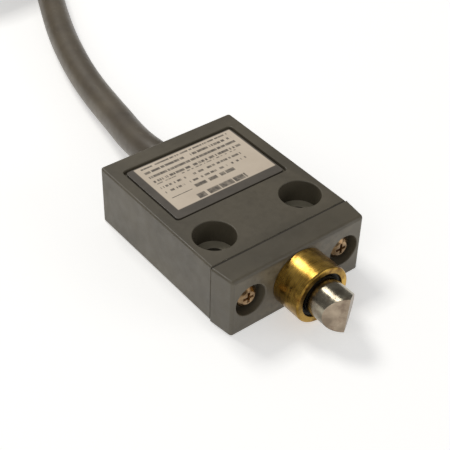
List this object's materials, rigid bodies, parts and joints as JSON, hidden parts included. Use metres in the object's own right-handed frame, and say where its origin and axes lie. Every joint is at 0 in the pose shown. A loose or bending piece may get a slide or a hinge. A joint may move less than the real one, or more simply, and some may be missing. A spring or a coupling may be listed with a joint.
{
  "type": "limit switch",
  "caption": "Compact die-cast limit switch with a chisel-ended steel plunger in a brass bush, counterbored mounting holes and a moulded-in cable that ends in stripped cores.",
  "frame": {"origin": "on the flat mounting face, midway between the centres of the two mounting holes", "axes": "+Z points away from the mounting face towards the name plate, +Y runs from the plunger to the cable outlet, +X is to the right when looking along +Y"},
  "size_m": [0.0918, 0.2741, 0.0341],
  "materials": {
    "casting": "die-cast zinc alloy with a thin dark bronze-grey finish, slightly grained, satin",
    "brass": "turned brass, satin, slightly tarnished",
    "steel": "turned stainless steel, satin",
    "plate": "thin printed aluminium plate, grey border and pale field",
    "rubber": "black nitrile rubber, matt",
    "cable_jacket": "soft grey PVC jacket, matt with a faint sheen",
    "nylon": "natural moulded nylon",
    "phenolic": "dark brown moulded phenolic",
    "copper": "beryllium copper spring strip",
    "silver": "silver or tin plated metal",
    "resin": "black poured epoxy resin, slightly glossy",
    "insulation": "pressed insulating paper",
    "tie": "black nylon strap",
    "core_brown": "brown PVC insulation",
    "core_black": "black PVC insulation",
    "core_blue": "blue PVC insulation",
    "core_green": "green PVC insulation"
  },
  "bodies": {
    "case": {"bush_circlip": "steel", "cable_clamp": "steel", "cable_coil": "cable_jacket", "cable_grommet": "rubber", "cable_lead": "cable_jacket", "cable_tail": "cable_jacket", "cap_gasket": "rubber", "cap_screw_left": "steel", "cap_screw_right": "steel", "coil_tie_far": "tie", "coil_tie_near": "tie", "common_terminal": "brass", "core_common": "core_brown", "core_earth": "core_green", "core_nc": "core_black", "core_no": "core_blue", "earth_lug": "silver", "earth_screw": "steel", "front_cap": "casting", "guide_bush": "brass", "housing": "casting", "insulation_sheet": "insulation", "name_plate": "plate", "nc_contact": "silver", "nc_terminal": "brass", "no_contact": "silver", "no_terminal": "brass", "potting_block": "resin", "return_spring": "steel", "spring_seat": "nylon", "switch_carrier": "nylon", "switch_case": "phenolic", "switch_cover": "phenolic", "switch_pin_left": "steel", "switch_pin_right": "steel", "tip_common": "silver", "tip_earth": "silver", "tip_nc": "silver", "tip_no": "silver", "wiper_seal": "rubber", "wire_common": "core_brown", "wire_earth": "core_green", "wire_nc": "core_black", "wire_no": "core_blue"},
    "plunger": {"plunger": "steel", "plunger_seal_ring": "rubber", "overtravel_spring": "steel"},
    "actuator": {"actuator_pin": "nylon"},
    "button": {"switch_button": "nylon"},
    "blade": {"contact_blade": "copper", "moving_contact": "silver"}
  },
  "joints": [
    {"name": "plunger_press", "type": "slide", "parent": "case", "child": "plunger", "axis": [0, 1, 0], "range_m": [0, 0.0048], "stiffness_N_per_m": 1500, "springref_m": -0.003, "deforming": ["return_spring", "overtravel_spring"]},
    {"name": "actuator_press", "type": "slide", "parent": "case", "child": "actuator", "axis": [0, 1, 0], "range_m": [0, 0.0006]},
    {"name": "button_press", "type": "slide", "parent": "case", "child": "button", "axis": [0, 1, 0], "range_m": [0, 0.0006]},
    {"name": "blade_snap", "type": "hinge", "parent": "case", "child": "blade", "pos_m": [-0.0056, 0.01495, 0.0082], "axis": [0, 0, 1], "range_deg": [0, 2.3]}
  ],
  "couplings": [
    {"joint": "actuator_press", "follows": "plunger_press", "ratio": 0.125},
    {"joint": "button_press", "follows": "plunger_press", "ratio": 0.125},
    {"joint": "blade_snap", "follows": "plunger_press", "rad_per_m": 8.3}
  ]
}
